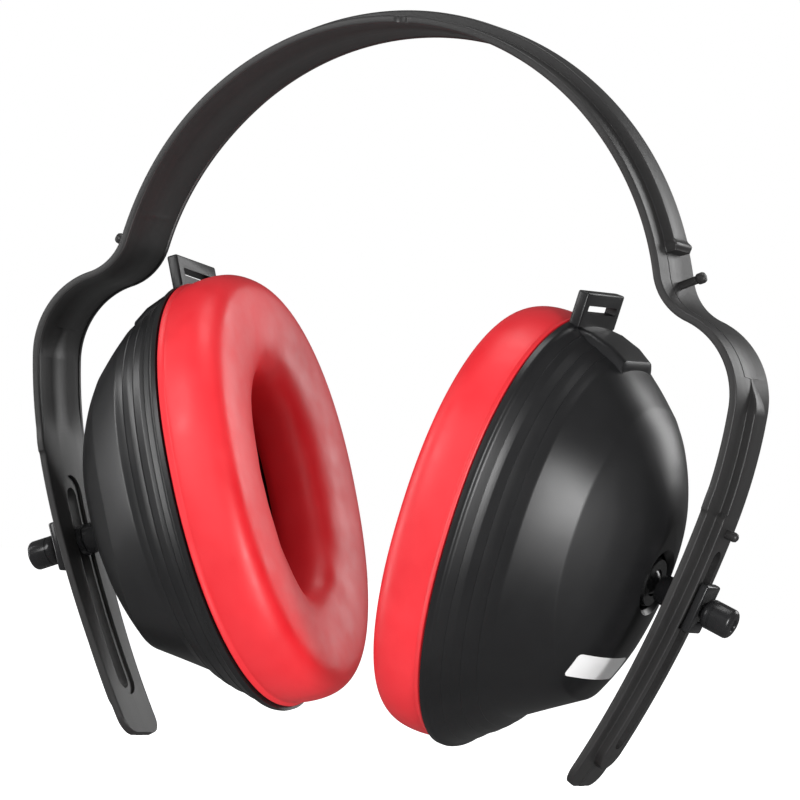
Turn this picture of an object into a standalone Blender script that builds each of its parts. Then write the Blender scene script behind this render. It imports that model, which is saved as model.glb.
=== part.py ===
"""Hearing protection earmuffs: one-piece slotted plastic headband, two cups on ball pivots, red cushions.

Metres, +Z up, X across the head, Y front to back. The origin is on the crown: the lowest point of the
inner face at the middle of the headband, where the band rests on the top of the head.
Run it with: blender --background --python part.py
"""

import math

import bmesh
import bpy
from mathutils import Matrix, Vector

MM = 0.001
GAP = 0.3 * MM  # running or assembly gap between neighbours
SIDES = {"right": 0.0, "left": math.pi}  # the left side is the right one turned half round about Z

# ---- headband -------------------------------------------------------------------------------------
# The middle line of the right half, from the crown down: arcs of (radius, angle of travel at its end).
# An angle of 0 runs towards +X, and 90 degrees runs straight down.
BAND_ARCS = (
    (71.5 * MM, 30.0),  # flat crown
    (74.5 * MM, 77.0),  # side of the arch
    (13.8 * MM, 20.0),  # neck, bent back outwards
    (20.2 * MM, 95.0),  # shoulder
    (130.0 * MM, 107.3),  # upper leg
    (296.0 * MM, 121.0),  # slotted leg, one true arc so that the pivot can slide along it
)
BAND_THICK = 1.9 * MM
BAND_WIDTHS = ((0, 28.0), (55, 26.0), (97, 23.4), (165, 22.6), (236, 18.0))  # mm along, mm wide
ARCH_RIB = (9.6 * MM, 2.5 * MM)  # width and height of the rib on the outer face
LEG_RIB = (7.4 * MM, 2.3 * MM)
ARCH_RIB_END = 93.0 * MM
LEG_RIB_START = 131.0 * MM
LEG_RIB_FULL = 139.0 * MM
GUIDE_START = 163.0 * MM  # where the rib widens into the slot guide
GUIDE_HALF = 4.9 * MM
TIP_ROUND = 4.5 * MM
TONGUE = 6.5 * MM  # the flat tongue past the end of the guide
SLOT_HALF = 2.4 * MM
SLOT_FROM = 172.0 * MM
SLOT_TO = 225.0 * MM
RECESS_HALF = 4.2 * MM  # shallow track on the inner face, which the washer runs along
RECESS_DEPTH = 0.7 * MM
PEG_AT = 101.0 * MM  # strap peg on the outer face of each neck
NUB_AT = 167.5 * MM  # small stop nub above each slot
PIVOT_AT = 186.0 * MM  # where the pivot stands along the band

# ---- pivot, along the pin's own axis: 0 is the middle of the leg, + is outwards ----------------------
BALL_BEHIND = 11.7 * MM  # from the middle of the leg back to the ball's centre
BALL_RADIUS = 4.3 * MM
RACE_INNER = 4.75 * MM
RACE_OUTER = 6.7 * MM
KNOB_RADIUS = 3.7 * MM
KNOB_LENGTH = 7.6 * MM
PIN_RADIUS = 1.9 * MM

# ---- cups -----------------------------------------------------------------------------------------
# How each cup hangs on its ball, in degrees: outer face turned down, turned about its height, and spun
# about its own depth.
HANG = {"right": (14.5, -0.5, 2.5), "left": (19.3, -2.3, 3.0)}
RIM_TO_BALL = 33.7 * MM
RIM = (54.2 * MM, 42.2 * MM)  # half height and half width of the cup's rim
OVAL_POWER = 2.18
EGG = 0.04  # the ovals are this much wider at the top, and narrower at the bottom
AROUND = 36  # points round every oval
# Outer surface of the cup, ring by ring, mm: distance out from the rim at the sides, the top and the
# bottom, then the ring's height above and below the pivot, and its half width.
CUP_RINGS = (
    (0.0, 0.0, 0.0, 54.2, 54.8, 42.2),
    (1.5, 1.5, 1.5, 54.2, 54.8, 42.2),
    (2.2, 2.2, 2.2, 53.2, 53.6, 41.2),
    (6.0, 6.0, 6.0, 51.4, 50.4, 38.8),
    (10.0, 10.0, 10.0, 49.8, 47.2, 37.3),
    (14.2, 13.8, 13.8, 48.0, 42.6, 36.3),
    (19.4, 19.0, 21.6, 44.4, 37.4, 32.5),
    (24.4, 24.6, 29.0, 39.8, 32.6, 28.6),
    (28.6, 28.6, 31.6, 35.6, 27.8, 23.8),
    (32.2, 32.4, 34.2, 29.4, 21.6, 19.4),
    (35.3, 35.6, 36.4, 22.5, 13.4, 14.2),
    (37.6, 37.8, 37.9, 15.4, 4.6, 7.8),
)
CAVITY_RINGS = (
    (-5.0, -5.0, -5.0, 48.6, 47.8, 36.8),
    (6.0, 6.0, 6.0, 48.0, 47.4, 36.6),
    (10.0, 10.0, 10.0, 46.6, 44.4, 35.0),
    (13.2, 12.8, 12.8, 45.2, 40.4, 34.1),
    (22.6, 22.8, 26.8, 37.4, 30.2, 25.6),
    (26.6, 26.8, 29.4, 33.0, 25.0, 21.6),
    (30.2, 30.4, 31.8, 26.6, 18.6, 17.0),
    (33.0, 33.2, 33.8, 19.4, 10.2, 11.4),
)
LINER_RINGS = (
    (13.4, 13.4, 13.4, 43.6, 38.2, 32.6),
    (17.0, 17.0, 19.4, 40.6, 34.6, 29.4),
    (21.0, 21.2, 24.4, 36.6, 29.8, 25.0),
)
BOSS = (26.4 * MM, 9.4 * MM)  # the socket's boss inside the cup: where it starts, and its radius
LUG = (23.0 * MM, 6.8 * MM, 2.8 * MM)  # width, height above the rim, thickness
LUG_SLOT = (17.5 * MM, 2.0 * MM)
SADDLE_RINGS = (  # under the lug, mm: distance out from the rim, half width, top
    (1.0, 11.2, 52.6), (6.0, 11.0, 52.2), (11.5, 10.4, 50.6), (16.0, 9.4, 48.0),
)
LUG_BAR = 3.2 * MM  # what is left above the slot

# ---- cushions -------------------------------------------------------------------------------------
CUSHION = (54.0 * MM, 42.0 * MM)
CUSHION_HOLE = (27.5 * MM, 15.5 * MM)
CUSHION_THICK = 16.2 * MM


def clear_scene():
    for old in list(bpy.data.objects):
        bpy.data.objects.remove(old, do_unlink=True)


def material(name, color, roughness):
    made = bpy.data.materials.new(name)
    made.use_nodes = True
    shader = made.node_tree.nodes["Principled BSDF"]
    shader.inputs["Base Color"].default_value = (*color, 1.0)
    shader.inputs["Roughness"].default_value = roughness
    shader.inputs["Metallic"].default_value = 0.0
    return made


def add_object(name, mesh_builder, finish, smooth=40.0):
    """Turns a bmesh into a named object with outward normals, and shades it smooth up to an angle."""
    bmesh.ops.recalc_face_normals(mesh_builder, faces=mesh_builder.faces)
    mesh = bpy.data.meshes.new(name)
    mesh_builder.to_mesh(mesh)
    mesh_builder.free()
    mesh.shade_smooth()
    mesh.set_sharp_from_angle(angle=math.radians(smooth))
    made = bpy.data.objects.new(name, mesh)
    bpy.context.scene.collection.objects.link(made)
    if finish:
        mesh.materials.append(finish)
    return made


def loft(rings, close_along=False, builder=None):
    """Joins rings of equal length into one skin. Its ends are capped unless the rings run back round."""
    shape = builder or bmesh.new()
    rows = [[shape.verts.new(point) for point in ring] for ring in rings]
    count = len(rows[0])
    pairs = list(zip(rows, rows[1:]))
    if close_along:
        pairs.append((rows[-1], rows[0]))
    for near, far in pairs:
        for i in range(count):
            j = (i + 1) % count
            shape.faces.new((near[i], near[j], far[j], far[i]))
    if not close_along:
        shape.faces.new(list(reversed(rows[0])))
        shape.faces.new(rows[-1])
    return shape


def turned(profile, steps=20):
    """A solid turned about the local X axis from (distance along X, radius) points, closed on itself."""
    rings = []
    for k in range(steps):
        angle = 2 * math.pi * k / steps
        ring = [Vector((x, r * math.cos(angle), r * math.sin(angle))) for x, r in profile]
        rings.append(ring)
    return loft(rings, close_along=True)


def box(low, high):
    shape = bmesh.new()
    bmesh.ops.create_cube(shape, size=1.0)
    for vert in shape.verts:
        for axis in range(3):
            vert.co[axis] = high[axis] if vert.co[axis] > 0 else low[axis]
    return shape


def cylinder(radius, start, end, steps=20):
    """A cylinder along the local X axis."""
    rings = []
    for x in (start, end):
        angles = [2 * math.pi * k / steps for k in range(steps)]
        rings.append([Vector((x, radius * math.cos(a), radius * math.sin(a))) for a in angles])
    return loft(rings)


def hidden_tool(name, shape, matrix=None):
    tool = add_object(name, shape, None)
    tool.hide_render = True
    tool.display_type = "WIRE"
    if matrix is not None:
        tool.matrix_world = matrix
    return tool


def boolean(target, tool, operation):
    step = target.modifiers.new(tool.name, "BOOLEAN")
    step.object = tool
    step.operation = operation
    step.solver = "EXACT"


# ---- the band's middle line --------------------------------------------------------------------------


def band_point(along):
    """Position, outward normal and travel angle at a distance along the right half of the band."""
    place = Vector((0.0, 0.0, BAND_THICK / 2))
    angle = 0.0
    left = along
    for radius, end_degrees in BAND_ARCS:
        end = math.radians(end_degrees)
        turn = 1.0 if end > angle else -1.0
        length = abs(end - angle) * radius
        step = min(left, length)
        stop = angle + turn * step / radius
        dx = radius * turn * (math.sin(stop) - math.sin(angle))
        dz = radius * turn * (math.cos(stop) - math.cos(angle))
        place = place + Vector((dx, 0.0, dz))
        angle = stop
        left -= step
        if left <= 1e-9:
            break
    return place, Vector((math.sin(angle), 0.0, math.cos(angle))), angle


def band_length():
    total = 0.0
    angle = 0.0
    for radius, end_degrees in BAND_ARCS:
        total += abs(math.radians(end_degrees) - angle) * radius
        angle = math.radians(end_degrees)
    return total


BAND_END = band_length()


def leg_arc_centre():
    """The centre of the slotted leg's arc on the right side, which the pivot swings about."""
    place, normal, _ = band_point(PIVOT_AT)
    return place - normal * BAND_ARCS[-1][0]


def band_half_width(along):
    knots = [(a * MM, w * MM / 2) for a, w in BAND_WIDTHS]
    half = knots[-1][1]
    for (a0, w0), (a1, w1) in zip(knots, knots[1:]):
        if along <= a1:
            t = (along - a0) / (a1 - a0)
            half = w0 + (w1 - w0) * t * t * (3 - 2 * t)
            break
    into_tip = along - (BAND_END - TIP_ROUND)
    if into_tip > 0:
        half += math.sqrt(max(TIP_ROUND**2 - into_tip**2, 0.0)) - TIP_ROUND
    return half


def rib_size(along):
    """Half width and height of the rib on the outer face. Where there is none it is a hair proud."""
    none = 0.12 * MM
    if along < ARCH_RIB_END:
        return ARCH_RIB[0] / 2, ARCH_RIB[1]
    if along < LEG_RIB_START:
        return ARCH_RIB[0] / 2, none
    if along < LEG_RIB_FULL:
        t = (along - LEG_RIB_START) / (LEG_RIB_FULL - LEG_RIB_START)
        return LEG_RIB[0] / 2 * (0.15 + 0.85 * t), none + (LEG_RIB[1] - none) * t
    if along < GUIDE_START:
        return LEG_RIB[0] / 2, LEG_RIB[1]
    end = BAND_END - TONGUE
    if along < end:
        into_round = along - (end - GUIDE_HALF)
        half = GUIDE_HALF
        if into_round > 0:
            half = math.sqrt(max(GUIDE_HALF**2 - into_round**2, (1.6 * MM) ** 2))
        return half, LEG_RIB[1]
    return 1.6 * MM, none


def band_section(along, side):
    """The eight corners of the band's T section at a distance along one half."""
    place, normal, _ = band_point(along)
    half = band_half_width(along)
    rib_half, rib_high = rib_size(along)
    inner = -BAND_THICK / 2
    shelf = BAND_THICK / 2
    top = shelf + rib_high
    corners = (
        (-half, inner), (half, inner), (half, shelf), (rib_half, shelf),
        (rib_half, top), (-rib_half, top), (-rib_half, shelf), (-half, shelf),
    )
    ring = []
    for y, off in corners:
        point = place + normal * off
        ring.append(Vector((side * point.x, y, point.z)))
    return ring


def band_stations():
    """Distances along one half, closer together where the section changes."""
    stops = {0.0, ARCH_RIB_END - 0.4 * MM, ARCH_RIB_END, LEG_RIB_START, LEG_RIB_FULL}
    stops |= {GUIDE_START - 0.4 * MM, GUIDE_START}
    guide_end = BAND_END - TONGUE
    stops |= {guide_end - 4 * MM, guide_end - 2 * MM, guide_end - 0.7 * MM, guide_end - 0.01 * MM}
    stops |= {guide_end, BAND_END - TIP_ROUND}
    for share in (0.4, 0.75, 0.93, 0.995):
        stops.add(BAND_END - TIP_ROUND * (1 - share))
    start = 0.0
    angle = 0.0
    for radius, end_degrees in BAND_ARCS:
        sweep = abs(math.radians(end_degrees) - angle)
        parts = max(2, round(sweep / math.radians(5.5)))
        for k in range(1, parts + 1):
            stops.add(start + radius * sweep * k / parts)
        start += radius * sweep
        angle = math.radians(end_degrees)
    ordered = sorted(stop for stop in stops if stop < BAND_END - 0.02 * MM)
    kept = [ordered[0]]
    for stop in ordered[1:]:
        if stop - kept[-1] > 0.008 * MM:
            kept.append(stop)
    return kept


def slot_tool(name, side, half, low, high, start, end):
    """A round-ended slug that follows the leg between two distances, from offset low to high."""
    rings = []
    count = 14
    for k in range(count + 1):
        share = 0.5 - 0.5 * math.cos(math.pi * k / count)
        along = start + (end - start) * share
        nearest = min(along - start, end - along)
        width = half
        if nearest < half:
            width = math.sqrt(max(half**2 - (half - nearest) ** 2, (0.3 * MM) ** 2))
        place, normal, _ = band_point(along)
        ring = []
        for y, off in ((-width, low), (width, low), (width, high), (-width, high)):
            point = place + normal * off
            ring.append(Vector((side * point.x, y, point.z)))
        rings.append(ring)
    return hidden_tool(name, loft(rings))


def on_band(along, side):
    """A matrix whose X axis is the band's outward normal at a distance along it, on one side."""
    place, normal, _ = band_point(along)
    outward = Vector((side * normal.x, 0.0, normal.z))
    forward = Vector((0.0, side * 1.0, 0.0))
    third = outward.cross(forward)
    frame = Matrix((outward, forward, third)).transposed().to_4x4()
    return Matrix.Translation(Vector((side * place.x, 0.0, place.z))) @ frame


def make_headband(finish):
    stations = band_stations()
    rings = [band_section(along, -1) for along in reversed(stations[1:])]
    rings += [band_section(along, 1) for along in stations]
    band = add_object("headband", loft(rings), finish)
    for side, word in ((1, "right"), (-1, "left")):
        top = BAND_THICK / 2 + LEG_RIB[1]
        slug = slot_tool(f"slot_{word}", side, SLOT_HALF, -3 * MM, top + 2 * MM, SLOT_FROM, SLOT_TO)
        track = slot_tool(
            f"track_{word}", side, RECESS_HALF, -3 * MM, RECESS_DEPTH - BAND_THICK / 2,
            SLOT_FROM - 3 * MM, SLOT_TO + 2 * MM,
        )
        peg_profile = ((-0.5, 0.0), (-0.5, 1.0), (6.0, 1.0), (6.2, 1.35), (7.6, 1.35), (8.2, 0.0))
        nub_profile = ((1.0, 0.0), (1.0, 1.2), (5.6, 1.2), (6.4, 0.0))
        peg = hidden_tool(f"peg_{word}", revolved(peg_profile), on_band(PEG_AT, side))
        nub = hidden_tool(f"nub_{word}", revolved(nub_profile), on_band(NUB_AT, side))
        boolean(band, peg, "UNION")
        boolean(band, nub, "UNION")
        boolean(band, slug, "DIFFERENCE")
        boolean(band, track, "DIFFERENCE")
    return band


def revolved(profile_mm, steps=14):
    """A solid turned about the local X axis whose profile, in mm, starts and ends on that axis."""
    shape = bmesh.new()
    first = shape.verts.new((profile_mm[0][0] * MM, 0.0, 0.0))
    last = shape.verts.new((profile_mm[-1][0] * MM, 0.0, 0.0))
    rows = []
    for x, r in profile_mm[1:-1]:
        row = []
        for k in range(steps):
            a = 2 * math.pi * k / steps
            row.append(shape.verts.new((x * MM, r * MM * math.cos(a), r * MM * math.sin(a))))
        rows.append(row)
    for k in range(steps):
        j = (k + 1) % steps
        shape.faces.new((first, rows[0][j], rows[0][k]))
        shape.faces.new((last, rows[-1][k], rows[-1][j]))
        for near, far in zip(rows, rows[1:]):
            shape.faces.new((near[k], near[j], far[j], far[k]))
    return shape


# ---- frames of the pivot and the cup -------------------------------------------------------------------


def pin_frame(side_word):
    """Origin at the ball's centre, X out along the pin, Z up along the leg."""
    place, normal, _ = band_point(PIVOT_AT)
    outward = normal.normalized()
    forward = Vector((0.0, 1.0, 0.0))
    frame = Matrix((outward, forward, outward.cross(forward))).transposed().to_4x4()
    here = Matrix.Translation(place - outward * BALL_BEHIND) @ frame
    return Matrix.Rotation(SIDES[side_word], 4, "Z") @ here


def cup_frame(side_word):
    """Origin on the rim's plane under the ball, X outwards, Y to the back on the right side, Z up."""
    ball = pin_frame(side_word).translation
    tilt, yaw, spin = (math.radians(angle) for angle in HANG[side_word])
    turn = Matrix.Rotation(SIDES[side_word], 4, "Z") @ Matrix.Rotation(tilt, 4, "Y")
    turn = turn @ Matrix.Rotation(-yaw, 4, "Z") @ Matrix.Rotation(spin, 4, "X")
    return Matrix.Translation(ball) @ turn @ Matrix.Translation((-RIM_TO_BALL, 0.0, 0.0))


# ---- pivot pieces --------------------------------------------------------------------------------------


def make_pivot(word, parent, black):
    frame = pin_frame(word)
    leg = BALL_BEHIND  # the middle of the leg, seen from the ball's centre
    seat = leg - BAND_THICK / 2 + RECESS_DEPTH  # the floor of the track that the washer runs in
    guide = leg + BAND_THICK / 2 + LEG_RIB[1]
    pin = revolved(
        (
            (-1.5, 0.0), (-1.5, 1.1), (BALL_RADIUS / MM + 0.7, 1.1), (BALL_RADIUS / MM + 0.7, 3.4),
            (seat / MM - 2.6, 4.0), (seat / MM - 2.2, 4.0), (seat / MM - 2.2, PIN_RADIUS / MM),
            (guide / MM + 2.6, PIN_RADIUS / MM), (guide / MM + 2.6, 1.2), (guide / MM + 7.0, 1.2),
            (guide / MM + 7.0, 0.0),
        ),
        steps=20,
    )
    shapes = {f"{word}_pivot_pin": pin}
    ball = []
    for k in range(1, 8):
        a = math.radians(180 - 20.0 * k)
        ball.append((BALL_RADIUS * math.cos(a), BALL_RADIUS * math.sin(a)))
    bore = 1.4 * MM
    edge = math.sqrt(BALL_RADIUS**2 - (bore + 0.4 * MM) ** 2)
    outline = [(x, r) for x, r in ball if x < edge - 0.2 * MM]
    profile = [(-BALL_RADIUS / MM, 0.0)]
    profile += [(x / MM, r / MM) for x, r in outline]
    profile += [(edge / MM, bore / MM + 0.4), (edge / MM, bore / MM), (-1.8, bore / MM), (-1.8, 0.0)]
    shapes[f"{word}_pivot_ball"] = revolved(profile, steps=20)
    washer = ((seat - 1.9 * MM, 3.9 * MM), (seat - 1.9 * MM, PIN_RADIUS + GAP),
              (seat - 0.3 * MM, PIN_RADIUS + GAP), (seat - 0.3 * MM, 3.9 * MM))
    shapes[f"{word}_pivot_washer"] = turned(washer)
    knob_from = guide + 2.5 * MM + 2 * GAP
    bore_end = guide + 7.3 * MM
    knob = (
        (knob_from / MM, 2.9), (knob_from / MM + 0.8, KNOB_RADIUS / MM),
        ((knob_from + KNOB_LENGTH) / MM - 0.9, KNOB_RADIUS / MM),
        ((knob_from + KNOB_LENGTH) / MM, KNOB_RADIUS / MM - 0.9),
    )
    knob_profile = [(bore_end / MM, 0.0), (bore_end / MM, 1.5), (knob_from / MM, 1.5), *knob]
    knob_profile.append(((knob_from + KNOB_LENGTH) / MM, 0.0))
    shapes[f"{word}_knob"] = revolved(knob_profile, steps=24)
    for name, shape in shapes.items():
        made = add_object(name, shape, black)
        made.parent = parent
        made.matrix_world = frame
    block = add_object(
        f"{word}_slider_block",
        box((guide + GAP, -4.4 * MM, -6.2 * MM), (guide + 2.5 * MM, 4.4 * MM, 6.2 * MM)),
        black,
    )
    block.parent = parent
    block.matrix_world = frame
    hole = hidden_tool(f"{word}_block_hole", cylinder(PIN_RADIUS + GAP, guide - MM, guide + 4 * MM), frame)
    boolean(block, hole, "DIFFERENCE")


# ---- cup pieces ----------------------------------------------------------------------------------------


def oval(x, half_height, half_width, power=OVAL_POWER):
    ring = []
    for k in range(AROUND):
        a = 2 * math.pi * k / AROUND
        c, s = math.cos(a), math.sin(a)
        up = math.copysign(abs(s) ** (2 / power), s)
        out = math.copysign(abs(c) ** (2 / power), c) * (1 + EGG * up)
        ring.append(Vector((x, half_width * out, half_height * up)))
    return ring


def bowed_oval(side_x, top_x, bottom_x, above, below, half_width):
    """An oval in mm whose top and bottom may stand further out than its sides."""
    ring = []
    middle = (above - below) / 2
    for point in oval(0.0, (above + below) / 2, half_width):
        share = (point.z / ((above + below) / 2)) ** 2
        end_x = top_x if point.z > 0 else bottom_x
        ring.append(Vector((side_x + (end_x - side_x) * share, point.y, point.z + middle)) * MM)
    return ring


def make_cup_shell(word, parent, black):
    frame = cup_frame(word)
    outer = [bowed_oval(*ring) for ring in CUP_RINGS]
    shell = add_object(f"{word}_cup_shell", loft(outer), black, smooth=28.0)
    shell.parent = parent
    shell.matrix_world = frame
    cavity = hidden_tool(f"{word}_cavity", loft([bowed_oval(*ring) for ring in CAVITY_RINGS]), frame)
    boss = hidden_tool(f"{word}_boss", cylinder(BOSS[1], BOSS[0], 36.4 * MM), frame)
    ball = RIM_TO_BALL / MM
    socket = ((ball - 5.3, 0.0), (ball - 5.3, 7.1), (ball + 2.4, 7.1), (ball + 5.0, 9.4), (ball + 5.0, 0.0))
    bore = hidden_tool(f"{word}_socket_bore", revolved(socket, steps=20), frame)
    top = RIM[0]
    wide, high, thick = LUG
    lug = hidden_tool(
        f"{word}_lug", box((0.0, -wide / 2, top - 2 * MM), (thick, wide / 2, top + high)), frame
    )
    saddle_rings = []
    for w, half, high_end in SADDLE_RINGS:
        corners = ((-half, 40.0), (half, 40.0), (half, high_end), (-half, high_end))
        saddle_rings.append([Vector((w * MM, y * MM, z * MM)) for y, z in corners])
    saddle = hidden_tool(f"{word}_saddle", loft(saddle_rings), frame)
    slot_low = top + high - LUG_BAR - LUG_SLOT[1]
    slot = hidden_tool(
        f"{word}_lug_slot",
        box((-MM, -LUG_SLOT[0] / 2, slot_low), (thick + MM, LUG_SLOT[0] / 2, slot_low + LUG_SLOT[1])),
        frame,
    )
    boolean(shell, lug, "UNION")
    boolean(shell, saddle, "UNION")
    boolean(shell, slot, "DIFFERENCE")
    boolean(shell, cavity, "DIFFERENCE")
    boolean(shell, boss, "UNION")
    boolean(shell, bore, "DIFFERENCE")


def between(outside, inside, x, share):
    return [a.lerp(b, share) + Vector((x, 0.0, 0.0)) for a, b in zip(outside, inside)]


def ring_solid(profile_mm):
    """A closed ring: each profile point is (distance from the rim plane, share from the outside in)."""
    outside = oval(0.0, *CUSHION)
    inside = oval(0.0, *CUSHION_HOLE, power=2.1)
    return loft([between(outside, inside, x * MM, share) for x, share in profile_mm], close_along=True)


def make_soft_parts(word, parent, red, foam, black):
    frame = cup_frame(word)
    thick = -CUSHION_THICK / MM
    skin = (
        (-0.3, 0.0), (-8.0, -0.005), (thick + 2.0, 0.09), (thick, 0.26), (thick + 0.2, 0.55),
        (thick + 1.3, 0.82), (thick + 3.8, 0.96), (-0.3, 1.0), (-0.3, 0.93), (thick + 5.0, 0.89),
        (thick + 2.9, 0.76), (thick + 1.7, 0.5), (thick + 1.5, 0.27), (thick + 3.2, 0.14),
        (-8.0, 0.06), (-0.3, 0.06),
    )
    core = (
        (-2.6, 0.08), (-8.0, 0.08), (thick + 3.7, 0.17), (thick + 1.9, 0.3), (thick + 2.2, 0.5),
        (thick + 3.6, 0.73), (thick + 6.0, 0.86), (-2.6, 0.9),
    )
    plate = (
        (-2.2, 0.09), (-2.2, 0.9), (-0.3, 0.9), (-0.3, 0.37), (3.4, 0.37), (3.4, 0.31), (-0.3, 0.31),
        (-0.3, 0.09),
    )
    shapes = (
        ("cushion_skin", ring_solid(skin), red),
        ("cushion_foam", ring_solid(core), foam),
        ("cushion_plate", ring_solid(plate), black),
    )
    for name, shape, finish in shapes:
        made = add_object(f"{word}_{name}", shape, finish)
        made.parent = parent
        made.matrix_world = frame
    liner = add_object(f"{word}_acoustic_foam", loft([bowed_oval(*ring) for ring in LINER_RINGS]), foam)
    liner.parent = parent
    liner.matrix_world = frame


def make_ball_race(word, parent, black):
    """The ring that holds the ball: a zone of a spherical shell, so it can tilt in the cup's socket."""
    profile = []
    for degrees in range(-30, 31, 15):
        a = math.radians(degrees)
        profile.append((RIM_TO_BALL + RACE_OUTER * math.sin(a), RACE_OUTER * math.cos(a)))
    for degrees in range(44, -45, -22):
        a = math.radians(degrees)
        profile.append((RIM_TO_BALL + RACE_INNER * math.sin(a), RACE_INNER * math.cos(a)))
    race = add_object(f"{word}_ball_race", turned(profile), black)
    race.parent = parent
    race.matrix_world = cup_frame(word)


def main():
    clear_scene()
    band_black = material("band_black", (0.035, 0.034, 0.033), 0.42)
    cup_black = material("cup_black", (0.03, 0.03, 0.031), 0.38)
    pivot_black = material("pivot_black", (0.025, 0.025, 0.026), 0.3)
    cushion_red = material("cushion_red", (0.72, 0.035, 0.04), 0.45)
    foam_grey = material("foam_grey", (0.06, 0.055, 0.055), 0.95)
    make_headband(band_black)
    for word in SIDES:
        hinge = bpy.data.objects.new(f"{word}_cup_pivot", None)
        bpy.context.scene.collection.objects.link(hinge)
        hinge.matrix_world = Matrix.Translation(pin_frame(word).translation)
        bpy.context.view_layer.update()
        make_pivot(word, hinge, pivot_black)
        make_cup_shell(word, hinge, cup_black)
        make_soft_parts(word, hinge, cushion_red, foam_grey, cup_black)
        make_ball_race(word, hinge, pivot_black)


main()
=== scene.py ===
# %% [markdown]
# # Hearing protection earmuffs
# A pair of passive earmuffs is one springy plastic headband, two hard cups that shut out the noise, and two
# soft ring cushions that seal round the ears. Each cup hangs on a ball that sits on a pin, and the pin slides
# in a slot of the headband's leg. This lesson builds the looks of every piece around a fixed frame.

import math

import bmesh
import bpy
from mathutils import Matrix, Vector, noise
from mathutils.bvhtree import BVHTree


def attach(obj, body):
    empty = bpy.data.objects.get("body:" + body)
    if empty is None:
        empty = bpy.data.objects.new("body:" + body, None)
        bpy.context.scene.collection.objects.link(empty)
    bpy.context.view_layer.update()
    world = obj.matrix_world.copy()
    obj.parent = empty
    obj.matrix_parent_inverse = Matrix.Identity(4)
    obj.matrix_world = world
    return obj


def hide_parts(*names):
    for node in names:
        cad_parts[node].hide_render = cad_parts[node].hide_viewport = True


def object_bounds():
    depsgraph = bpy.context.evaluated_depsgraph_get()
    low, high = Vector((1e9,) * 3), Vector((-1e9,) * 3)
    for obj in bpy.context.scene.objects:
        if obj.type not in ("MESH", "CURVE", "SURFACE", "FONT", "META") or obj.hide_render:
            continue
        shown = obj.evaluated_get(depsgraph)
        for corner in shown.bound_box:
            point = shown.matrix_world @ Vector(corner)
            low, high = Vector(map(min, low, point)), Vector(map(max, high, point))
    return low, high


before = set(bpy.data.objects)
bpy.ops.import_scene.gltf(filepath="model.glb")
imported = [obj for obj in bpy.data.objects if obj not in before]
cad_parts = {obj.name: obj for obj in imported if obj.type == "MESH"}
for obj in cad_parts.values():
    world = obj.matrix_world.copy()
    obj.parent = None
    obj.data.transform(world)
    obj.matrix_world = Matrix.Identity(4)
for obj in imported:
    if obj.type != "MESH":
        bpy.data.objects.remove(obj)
CAD_BOX = [list(corner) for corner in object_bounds()]
MM = 0.001
print("frame box in mm:", [[round(v / MM, 1) for v in corner] for corner in CAD_BOX])

# %% [markdown]
# The camera comes first, because it decides which faces need the most care. It looks slightly upwards at the
# left cup's cushion and at the right cup's shell, through a long lens, so the two sides keep their true
# sizes. The picture is also rolled a few degrees.

# %% Camera
AIM = Vector((0.0, 0.0, -0.09405))
CAMERA_DISTANCE = 1.1894
AZIMUTH, ELEVATION, ROLL = (math.radians(a) for a in (24.5, -1.51, 5.39))
backwards = Vector((
    math.sin(AZIMUTH) * math.cos(ELEVATION), -math.cos(AZIMUTH) * math.cos(ELEVATION), math.sin(ELEVATION)
))
level = Vector((math.cos(AZIMUTH), math.sin(AZIMUTH), 0.0))
upright = backwards.cross(level)
camera_x = level * math.cos(ROLL) + upright * math.sin(ROLL)
camera_y = upright * math.cos(ROLL) - level * math.sin(ROLL)
camera_data = bpy.data.cameras.new("camera")
camera_data.lens = 218.9
camera_data.sensor_width = 36.0
camera_data.shift_x = 0.0142
camera_data.shift_y = 0.0159
camera = bpy.data.objects.new("camera", camera_data)
camera.matrix_world = Matrix.Translation(AIM + backwards * CAMERA_DISTANCE) @ Matrix(
    (camera_x, camera_y, backwards)
).transposed().to_4x4()
bpy.context.scene.collection.objects.link(camera)
bpy.context.scene.camera = camera
bpy.context.scene.view_settings.view_transform = "Standard"
print("camera stands at", [round(v, 3) for v in camera.matrix_world.translation])

# %% [markdown]
# Black plastic is seen almost only by what it reflects, so the lights are large soft boxes. A low one in
# front on the right gives the long highlight of the right cup, two on the left the rim lines, and one overhead
# and one behind the arch. The red vinyl needs more light than the black, so a wide fill lights it without
# shining in the plastic, and the white surroundings are dimmer where they are seen in a gloss.

# %% Lights and white surroundings
def soft_box(name, place, width, height, watts, shines=True):
    data = bpy.data.lights.new(name, "AREA")
    data.shape = "RECTANGLE"
    data.size = width
    data.size_y = height
    data.energy = watts
    lamp = bpy.data.objects.new(name, data)
    lamp.location = place
    lamp.visible_glossy = shines
    lamp.rotation_euler = (AIM - Vector(place)).to_track_quat("-Z", "Y").to_euler()
    bpy.context.scene.collection.objects.link(lamp)


soft_box("front_right_box", (0.80, -0.50, -0.22), 0.15, 0.40, 5.0)
soft_box("front_left_box", (-0.75, -1.05, 0.30), 0.30, 0.60, 4.0)
soft_box("overhead_box", (0.05, 0.00, 1.10), 0.80, 0.60, 5.0)
soft_box("left_strip", (-1.05, -0.15, -0.02), 0.14, 0.80, 3.0)
soft_box("back_box", (0.60, 1.10, 0.40), 0.50, 0.60, 4.0)
soft_box("front_fill", (-0.10, -1.40, 0.25), 1.20, 1.00, 10.0, shines=False)

world = bpy.data.worlds.new("white_room")
world.use_nodes = True
tree = world.node_tree
tree.nodes.clear()
rays = tree.nodes.new("ShaderNodeLightPath")


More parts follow.
